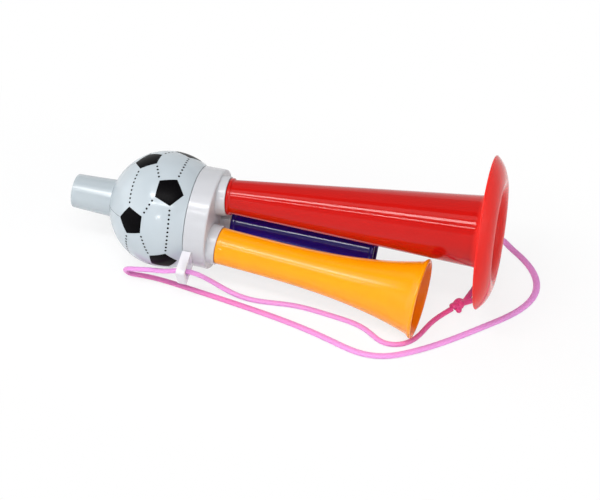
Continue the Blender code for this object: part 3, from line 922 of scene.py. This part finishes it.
    def close_ends(self, mesh: Mesh) -> None:
        """Fills the two open rings of a tube."""
        shape = bmesh.new()
        shape.from_mesh(mesh)
        rims = [edge for edge in shape.edges if edge.is_boundary]
        bmesh.ops.holes_fill(shape, edges=rims, sides=0)
        bmesh.ops.recalc_face_normals(shape, faces=shape.faces)
        shape.to_mesh(mesh)
        shape.free()

    def knot_line(self) -> np.ndarray:
        """Centre line of an overhand knot pulled tight, in metres in the row frame."""
        t = np.linspace(0, 2 * pi, self.knot_points)
        loop = np.stack((np.sin(t) + 2 * np.sin(2 * t), np.cos(t) - 2 * np.cos(2 * t),
                         -np.sin(3 * t)), axis=1)
        loop *= np.array(self.knot_size)
        turn = np.array(Matrix.Rotation(self.knot_turn, 3, "Z"))
        return (loop @ turn.T + np.array(self.knot_place)) * MM + TABLE_ORIGIN

    def build(self) -> None:
        """Cord, knot and tails."""
        places = self.on_table(self.route)
        along = distances(places)
        reach, depth, breadth = np.array(self.stations).T
        dye = np.interp(along / MM, reach, depth)
        width = np.interp(along / MM, reach, breadth) * MM
        cord = self.braided("lanyard_braid", places, width, dye, ["lanyard_cord"])
        knot = self.braided("lanyard_knot_braid", self.knot_line(), self.knot_width, 1.0,
                            ["lanyard_knot"])
        tails = [self.braided(name, self.on_table(line), self.tail_width, 1.0, round_ends=True)
                 for name, line in (("lanyard_long_tail", self.long_tail),
                                    ("lanyard_short_tail", self.short_tail))]


@dataclass
class FootballPrint:
    """Black pentagons and dotted seams printed on the ball in two rings of five."""

    radius: float = 37.5 * MM
    film: float = 0.03 * MM
    corner_angle: float = radians(14.5)
    rear_colatitude: float = 79.4
    rear_longitudes: tuple[float, ...] = (41.7, 123.4, 193.0, 262.6, 332.2)
    front_colatitude: float = 112.3
    front_longitudes: tuple[float, ...] = (4.3, 80.0, 151.1, 222.2, 293.3)
    patch_cuts: int = 7
    dot: float = 1.4 * MM
    pitch: float = 2.75 * MM
    line_dot: float = 0.5 * MM
    line_pitch: float = 0.95 * MM
    dot_sides: int = 10
    neck_radius: float = 12.5 * MM

    def middle(self, colatitude: float, longitude: float) -> Vector:
        """Direction from the ball's centre to a pentagon's middle, from angles in degrees."""
        polar, turn = radians(colatitude), radians(longitude)
        return Vector((sin(polar) * cos(turn), sin(polar) * sin(turn), cos(polar)))

    def corners(self, middle: Vector, pole: Vector) -> list[Vector]:
        """Directions of a pentagon's corners.

        Args:
            middle: Direction of the pentagon's middle.
            pole: Direction that its first corner points to.

        Returns:
            Five directions.
        """
        up = (pole - middle * pole.dot(middle)).normalized()
        side = middle.cross(up)
        turns = [2 * pi * k / 5 for k in range(5)]
        return [middle * cos(self.corner_angle)
                + (up * cos(a) + side * sin(a)) * sin(self.corner_angle) for a in turns]

    def patch(self, corners: Sequence[Vector]) -> Shape:
        """Film of ink between a pentagon's corners: a thin closed shell on the ball."""
        shape = bmesh.new()
        rim = [shape.verts.new(way * self.radius) for way in corners]
        bmesh.ops.poke(shape, faces=[shape.faces.new(rim)])
        bmesh.ops.subdivide_edges(shape, edges=shape.edges, cuts=self.patch_cuts,
                                  use_grid_fill=True)
        for point in shape.verts:
            point.co = point.co.normalized() * (self.radius + self.film)
        bmesh.ops.solidify(shape, geom=shape.faces, thickness=2 * self.film)
        bmesh.ops.recalc_face_normals(shape, faces=shape.faces)
        return put(shape, BODY_FRAME)

    def dots(self, first: Vector, last: Vector, size: float, pitch: float) -> list[Shape]:
        """Row of printed dots along the shortest way between two directions.

        Args:
            first: Direction of the row's start.
            last: Direction of its end.
            size: Diameter of a dot.
            pitch: Wanted distance between dots.

        Returns:
            One thin disc for each dot.
        """
        count = max(1, int(round(first.angle(last) * self.radius / pitch)) - 1)
        found = []
        for k in range(1, count + 1):
            way = first.slerp(last, k / (count + 1))
            shape = bmesh.new()
            bmesh.ops.create_cone(shape, cap_ends=True, segments=self.dot_sides,
                                  radius1=size / 2, radius2=size / 2, depth=2 * self.film)
            turn = way.to_track_quat("Z", "Y").to_matrix().to_4x4()
            out = Matrix.Translation((0, 0, self.radius))
            found.append(put(shape, BODY_FRAME @ turn @ out))
        return found

    def nearest(self, one: list[Vector], other: list[Vector]) -> tuple[Vector, Vector]:
        """Closest two corners of two pentagons."""
        pairs = [(a, b) for a in one for b in other]
        return min(pairs, key=lambda pair: pair[0].angle(pair[1]))

    def build(self, ink: Material) -> None:
        """Pentagons and seams.

        Args:
            ink: Material of the print.
        """
        rear = [self.middle(self.rear_colatitude, turn) for turn in self.rear_longitudes]
        front = [self.middle(self.front_colatitude, turn) for turn in self.front_longitudes]
        rear_corners = [self.corners(middle, Vector((0, 0, 1))) for middle in rear]
        front_corners = [self.corners(middle, Vector((0, 0, -1))) for middle in front]
        patches = [self.patch(corners) for corners in rear_corners + front_corners]
        finished(joined(patches, "pentagons"), "printed_pentagons", ink)
        level = -sqrt(self.radius ** 2 - self.neck_radius ** 2)
        rows: list[Shape] = []
        for k in range(5):
            near = sorted(range(5), key=lambda j: rear[k].angle(front[j]))[:2]
            pairs = [(rear_corners[k], rear_corners[k - 1]),
                     (front_corners[k], front_corners[k - 1])]
            pairs += [(rear_corners[k], front_corners[j]) for j in near]
            for pair in pairs:
                rows += self.dots(*self.nearest(*pair), self.dot, self.pitch)
            tip = front_corners[k][0]
            neck = Vector((*(tip.xy.normalized() * self.neck_radius), level)).normalized()
            rows += self.dots(tip, neck, self.line_dot, self.line_pitch)
        finished(joined(rows, "seams"), "printed_seam_dots", ink)


@dataclass
class WindChamber:
    """Ball, mouthpiece and rear cap, push-fitted together."""

    ball_diameter: float = 75.0 * MM
    wall: float = 1.6 * MM
    clearance: float = 0.3 * MM
    soft_edge: float = 0.22 * MM
    chamfer: float = 0.25 * MM
    neck_depth: float = 11.0 * MM
    neck_ledge: float = 1.6 * MM
    tube_diameter: float = 24.2 * MM
    tip_diameter: float = 22.0 * MM
    tube_bore: float = 18.0 * MM
    reach: float = 27.0 * MM
    lip: float = 1.0 * MM
    cap_radius: float = 32.3 * MM
    seam_radius: float = 32.1 * MM
    cap_length: float = 14.0 * MM
    cap_edge: float = 1.2 * MM
    spigot_length: float = 4.0 * MM
    spigot_wall: float = 1.8 * MM
    circle_radius: float = 18.3 * MM
    socket_radius: float = 11.2 * MM
    collar_wall: float = 1.4 * MM
    collar_height: float = 6.0 * MM
    collar_edge: float = 0.4 * MM
    socket_depth: float = 15.6 * MM
    floor: float = 1.6 * MM
    floor_hole: float = 6.4 * MM
    eye_reach: float = 15.2 * MM
    eye_width: float = 15.6 * MM
    eye_bar: float = 2.5 * MM
    eye_thickness: float = 5.6 * MM
    eye_corner: float = 2.4 * MM
    window_corner: float = 0.9 * MM
    eye_edge: float = 0.8 * MM
    eye_turn: float = radians(120)
    ball_facets: int = 192
    tube_facets: int = 144
    socket_facets: int = 96

    @property
    def seam_height(self) -> float:
        """Height of the ball's rear edge on the body axis."""
        return sqrt((self.ball_diameter / 2) ** 2 - self.seam_radius ** 2)

    @property
    def cap_front(self) -> float:
        """Height of the cap's front edge on the body axis."""
        return self.seam_height + self.clearance

    @property
    def collar_end(self) -> float:
        """Height of the collars' ends on the body axis."""
        return self.cap_front + self.cap_length + self.collar_height

    @property
    def neck(self) -> float:
        """Radius of the ball's neck, in which the mouthpiece stands."""
        return self.tube_diameter / 2 + self.clearance

    @property
    def ball_front(self) -> float:
        """Height at which the mouthpiece leaves the ball."""
        return -sqrt((self.ball_diameter / 2) ** 2 - self.neck ** 2)

    def horn_frame(self, turn: float, splay: float) -> Matrix:
        """Frame of one horn in the row frame.

        Args:
            turn: Angle of its socket round the body axis.
            splay: Angle that it leans outward by.

        Returns:
            The frame, +Z along the horn.
        """
        return (BODY_FRAME @ Matrix.Rotation(turn, 4, "Z")
                @ Matrix.Translation((self.circle_radius, 0, self.collar_end))
                @ Matrix.Rotation(splay, 4, "Y"))

    def ball(self) -> Mesh:
        """Ball with the neck that holds the mouthpiece."""
        radius, neck = self.ball_diameter / 2, self.neck
        outer, inside = neck + self.wall, radius - self.wall
        back = self.ball_front + self.neck_depth
        outline = arc((0, 0), radius, asin(self.seam_height / radius), -acos(neck / radius), 72)
        outline += [(neck, back), (neck - self.neck_ledge, back),
                    (neck - self.neck_ledge, back + self.neck_ledge),
                    (outer, back + self.neck_ledge)]
        outline += arc((0, 0), inside, -acos(outer / inside), asin(self.seam_height / inside), 40)
        shape = spun(outline, BODY_FRAME, self.ball_facets)
        round_off(shape, sharp_edges(shape), self.soft_edge)
        return mesh_of(shape, "ball")

    def mouthpiece(self) -> Mesh:
        """Tapered tube with a rounded end."""
        radius, tip_radius = self.tube_diameter / 2, self.tip_diameter / 2
        bore, lip = self.tube_bore / 2, self.lip
        tip = self.ball_front - self.reach
        back = self.ball_front + self.neck_depth - self.clearance
        outline = [(radius, back), (radius, self.ball_front)]
        outline += arc((tip_radius - lip, tip + lip), lip, 0, -pi / 2)
        outline += arc((bore + lip / 2, tip + lip / 2), lip / 2, -pi / 2, -pi, 5)
        outline += [(radius - self.wall, self.ball_front), (radius - self.wall, back)]
        return mesh_of(spun(outline, BODY_FRAME, self.tube_facets), "mouthpiece")

    def drum(self) -> Mesh:
        """Hollow drum of the rear cap with the spigot that enters the ball."""
        edge, chamfer, front = self.cap_edge, self.chamfer, self.cap_front
        inner, back = self.cap_radius - self.wall, front + self.cap_length
        spigot = (sqrt((self.ball_diameter / 2 - self.wall) ** 2 - self.seam_height ** 2)
                  - self.clearance)
        spigot_inner, spigot_end = spigot - self.spigot_wall, front - self.spigot_length
        outline = [(0, back)]
        outline += arc((self.cap_radius - edge, back - edge), edge, pi / 2, 0)
        outline += [(self.seam_radius, front + chamfer), (self.seam_radius - chamfer, front),
                    (spigot, front), (spigot, spigot_end), (spigot_inner, spigot_end),
                    (spigot_inner, front), (inner, front + self.wall),
                    (inner, back - self.wall), (0, back - self.wall)]
        return mesh_of(spun(outline, BODY_FRAME, self.ball_facets, closed=False), "drum")

    def socket(self, place: Matrix) -> Shape:
        """Solid from which one socket is bored, with a rounded end."""
        outer, edge = self.socket_radius + self.collar_wall, self.collar_edge
        low = -self.socket_depth - self.floor
        outline = [(0, 0)] + arc((outer - edge, -edge), edge, pi / 2, 0, 4)
        outline += [(outer, low), (0, low)]
        return spun(outline, place, self.socket_facets, closed=False)

    def bore(self, place: Matrix) -> Shape:
        """What is cut from one socket: its bore and the smaller hole in its floor."""
        radius, edge = self.socket_radius, self.chamfer
        low = -self.socket_depth - self.floor - MM
        outline = [(0, MM), (radius + edge, MM), (radius + edge, 0), (radius, -edge),
                   (radius, -self.socket_depth), (self.floor_hole, -self.socket_depth),
                   (self.floor_hole, low), (0, low)]
        return spun(outline, place, self.socket_facets, closed=False)

    def block(self, low: Sequence[float], high: Sequence[float], corner: float,
              beyond: float) -> Mesh:
        """Box of the body frame with rounded edges along Z.

        Args:
            low: Its lowest corner.
            high: Its highest corner.
            corner: Radius of the rounding.
            beyond: Smallest X of the edges that are rounded.

        Returns:
            The mesh.
        """
        shape = bmesh.new()
        low, high = Vector(low), Vector(high)
        bmesh.ops.create_cube(shape, size=1, matrix=Matrix.Translation((low + high) / 2)
                              @ Matrix.Diagonal((*(high - low), 1)))
        edges = [edge for edge in shape.edges
                 if abs(edge.verts[0].co.z - edge.verts[1].co.z) > self.eye_thickness / 2
                 and edge.verts[0].co.x > beyond]
        round_off(shape, edges, corner, EDGE_STEPS, False)
        return mesh_of(shape, "block")

    def eye(self) -> Mesh:
        """Flat loop for the lanyard on the cap's rim, its edges rounded."""
        half = self.eye_width / 2
        root = self.cap_radius - self.wall / 2
        top = self.cap_radius + self.eye_reach
        front, back = self.cap_front, self.cap_front + self.eye_thickness
        loop = self.block((root, -half, front), (top, half, back), self.eye_corner,
                          top - self.eye_bar)
        window = self.block((self.cap_radius + self.clearance, self.eye_bar - half, front - MM),
                            (top - self.eye_bar, half - self.eye_bar, back + MM),
                            self.window_corner, 0)
        ring = shape_of(combined(loop, window, Join.TAKE))
        rims = [edge for edge in sharp_edges(ring, 60)
                if min(v.co.x for v in edge.verts) > root + WELD]
        round_off(ring, rims, self.eye_edge, 3)
        return mesh_of(put(ring, BODY_FRAME @ Matrix.Rotation(self.eye_turn, 4, "Z")), "eye")

    def cap(self, places: Sequence[Matrix]) -> Mesh:
        """Rear cap: drum and three sockets.

        Args:
            places: Frame of each horn.

        Returns:
            The mesh.
        """
        added = joined([self.socket(place) for place in places], "added")
        solid = combined(self.drum(), added, Join.ADD)
        return combined(solid, joined([self.bore(place) for place in places], "bores"), Join.TAKE)

    def build(self, places: Sequence[Matrix]) -> None:
        """Mouthpiece, ball, cap and eye.

        Args:
            places: Frame of each horn.
        """
        for mesh, name, finish, nodes in (
                (self.mouthpiece(), "mouthpiece_tube", MOUTH_PLASTIC, ["mouthpiece"]),
                (self.ball(), "football_shell", WHITE_PLASTIC, ["ball_shell"]),
                (self.cap(places), "rear_cap_moulding", CAP_PLASTIC, ["rear_cap"]),
                (self.eye(), "lanyard_eye_loop", THIN_WHITE_PLASTIC, [])):
            finished(mesh, name, finish.make(), nodes)


@dataclass
class Horn:
    """Tube that stands in a socket of the cap, with what all three horns share."""

    name: str
    turn: float
    splay: float
    length: float
    bell: float
    finish: MouldedPlastic
    slot: Slot
    root_diameter: float = 21.8 * MM
    wall: float = 1.6 * MM
    clearance: float = 0.3 * MM
    bead_step: float = 0.9 * MM
    bead_length: float = 2.6 * MM
    root_end: float = -13.4 * MM
    soft_edge: float = 0.2 * MM
    inside_slope: float = 4.0
    facets: int = 160

    def foot(self, start: float) -> Outline:
        """Bead and root of the tube, down its outside and into its bore.

        Args:
            start: Radius at which the tube leaves the bead.

        Returns:
            Points from the bead's top to the root's end.
        """
        root = self.root_diameter / 2
        bead = max(root + self.bead_step, start)
        points = [(start, self.bead_length + self.clearance)]
        if bead > start + WELD:
            points += [(bead, self.bead_length - (bead - start) / 2)]
        points += [(bead, self.clearance), (root, self.clearance), (root, self.root_end),
                   (root - self.wall, self.root_end)]
        return points

    def outline(self) -> Outline:
        """Closed section of the horn."""
        raise NotImplementedError

    def mark_inside(self, shape: Shape, place: Matrix) -> None:
        """Stores how far each point faces the horn's own axis, from 0 to 1.

        Args:
            shape: Shape that gets the value.
            place: Frame of the horn in the row frame.
        """
        shape.normal_update()
        layer = shape.verts.layers.float.new("inside")
        into = place.inverted()
        turn = into.to_3x3()
        for point in shape.verts:
            spoke = (into @ point.co).xy.normalized()
            facing = -self.inside_slope * (turn @ point.normal).xy.dot(spoke)
            point[layer] = min(max(facing, 0.0), 1.0)

    def build(self, place: Matrix) -> None:
        """Dressed horn.

        Args:
            place: Frame of the horn in the row frame.
        """
        shape = spun(self.outline(), place, self.facets)
        round_off(shape, sharp_edges(shape), self.soft_edge)
        self.mark_inside(shape, place)
        finished(mesh_of(shape, self.name), f"{self.name}_horn_tube", self.finish.make(),
                 [f"{self.name}_horn"])


@dataclass
class LippedHorn(Horn):
    """Straight cone whose lip rolls back round the mouth."""

    cone_diameter: float = 44.8 * MM
    mouth_diameter: float = 65.0 * MM
    lip_height: float = 8.0 * MM
    lip_wall: float = 1.9 * MM
    lip_bulge: float = 2.4 * MM
    flare: float = 14.0 * MM
    lip_steps: int = 20
    mouth_steps: int = 16

    @property
    def corner(self) -> tuple[float, float]:
        """Corner of the parabola that the back-rolled lip follows: it stays near a plain cone."""
        middle = (self.mouth_diameter + self.bell) / 4
        return middle + self.lip_bulge, self.length + self.lip_height / 2 + self.lip_bulge

    def outline(self) -> Outline:
        """Closed section: lip, cone, foot, bore and mouth."""
        start = self.root_diameter / 2
        cone, mouth, lip = self.cone_diameter / 2, self.mouth_diameter / 2, self.bell / 2
        thick, rim = self.lip_wall, self.lip_wall / 2
        crest = self.length + self.lip_height
        flare = crest - self.flare
        points = bend((mouth + rim, crest), self.corner, (lip, self.length), self.lip_steps)
        points += arc((lip - rim, self.length), rim, 0, -pi)[1:-1]
        points += bend((lip - thick, self.length),
                       (self.corner[0] - thick, self.corner[1] - thick),
                       (mouth + thick, crest - thick), self.lip_steps)
        points += bend((mouth + thick, crest - thick), (cone + thick, crest - 2 * thick),
                       (cone, flare), self.mouth_steps)[1:]
        points += self.foot(start)
        points += [(start - self.wall, self.bead_length), (cone - self.wall, flare)]
        points += bend((cone - self.wall, flare), (cone + thick, crest - thick),
                       (mouth - rim, crest - thick / 4), self.mouth_steps)[1:]
        return points


@dataclass
class FlaredHorn(Horn):
    """Tube whose radius grows with a power of its length, with a bead round the rim."""

    start_diameter: float = 21.8 * MM
    power: float = 3.0
    rim_bead: float = 2.4 * MM
    rings: int = 48
    bead_steps: int = 14

    def outline(self) -> Outline:
        """Closed section: rim bead, outside, foot and bore."""
        bead = self.rim_bead / 2
        start, rim, end = self.start_diameter / 2, self.bell / 2 - bead, self.length - bead
        low = self.bead_length + self.clearance
        heights = [low + (end - low) * i / self.rings for i in range(self.rings + 1)]
        outside = [(start + (rim - start) * (z / end) ** self.power, z) for z in heights]
        points = arc((rim, end), bead, pi, -pi / 4, self.bead_steps)
        points += outside[-2:0:-1]
        points += self.foot(start)
        points += [(radius - self.wall, z) for radius, z in outside[:-1]]
        return points


@dataclass
class Reeds:
    """Holders, tongues and slip rings, whose CAD shapes are dressed as they are."""

    horns: tuple[str, ...] = ("red", "orange", "blue")

    def build(self, nodes: dict[str, Piece]) -> None:
        """Gives each reed part its material.

        Args:
            nodes: CAD objects by name.
        """
        holder, ring, brass = HOLDER_PLASTIC.make(), RING_PLASTIC.make(), BrassStrip().make()
        for horn in self.horns:
            for part, material in (("holder", holder), ("ring", ring), ("tongue", brass)):
                item = nodes[f"{horn}_reed_{part}"]
                for slot in item.material_slots:
                    slot.material = material
                LOG.info("%s dressed", item.name)


def main() -> None:
    """Builds and dresses every piece in order."""
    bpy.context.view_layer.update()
    Studio().build()
    Lanyard(BraidedPolyester().make()).build()
    chamber = WindChamber()
    horns = (
        LippedHorn("red", 0.0, radians(3.8), 164.3 * MM, 96.0 * MM, RED_PLASTIC, Slot.RED),
        FlaredHorn("orange", radians(120), radians(3.6), 132.6 * MM, 50.8 * MM, ORANGE_PLASTIC,
                   Slot.ORANGE, start_diameter=23.4 * MM, power=3.25),
        FlaredHorn("blue", radians(-120), radians(3.0), 94.5 * MM, 36.0 * MM, BLUE_PLASTIC,
                   Slot.BLUE, power=2.6),
    )
    places = [chamber.horn_frame(horn.turn, horn.splay) for horn in horns]
    chamber.build(places)
    FootballPrint().build(PadInk().make())
    for horn, place in zip(horns, places):
        horn.build(place)
    Reeds().build(frame["nodes"])


if __name__ == "__main__":
    main()
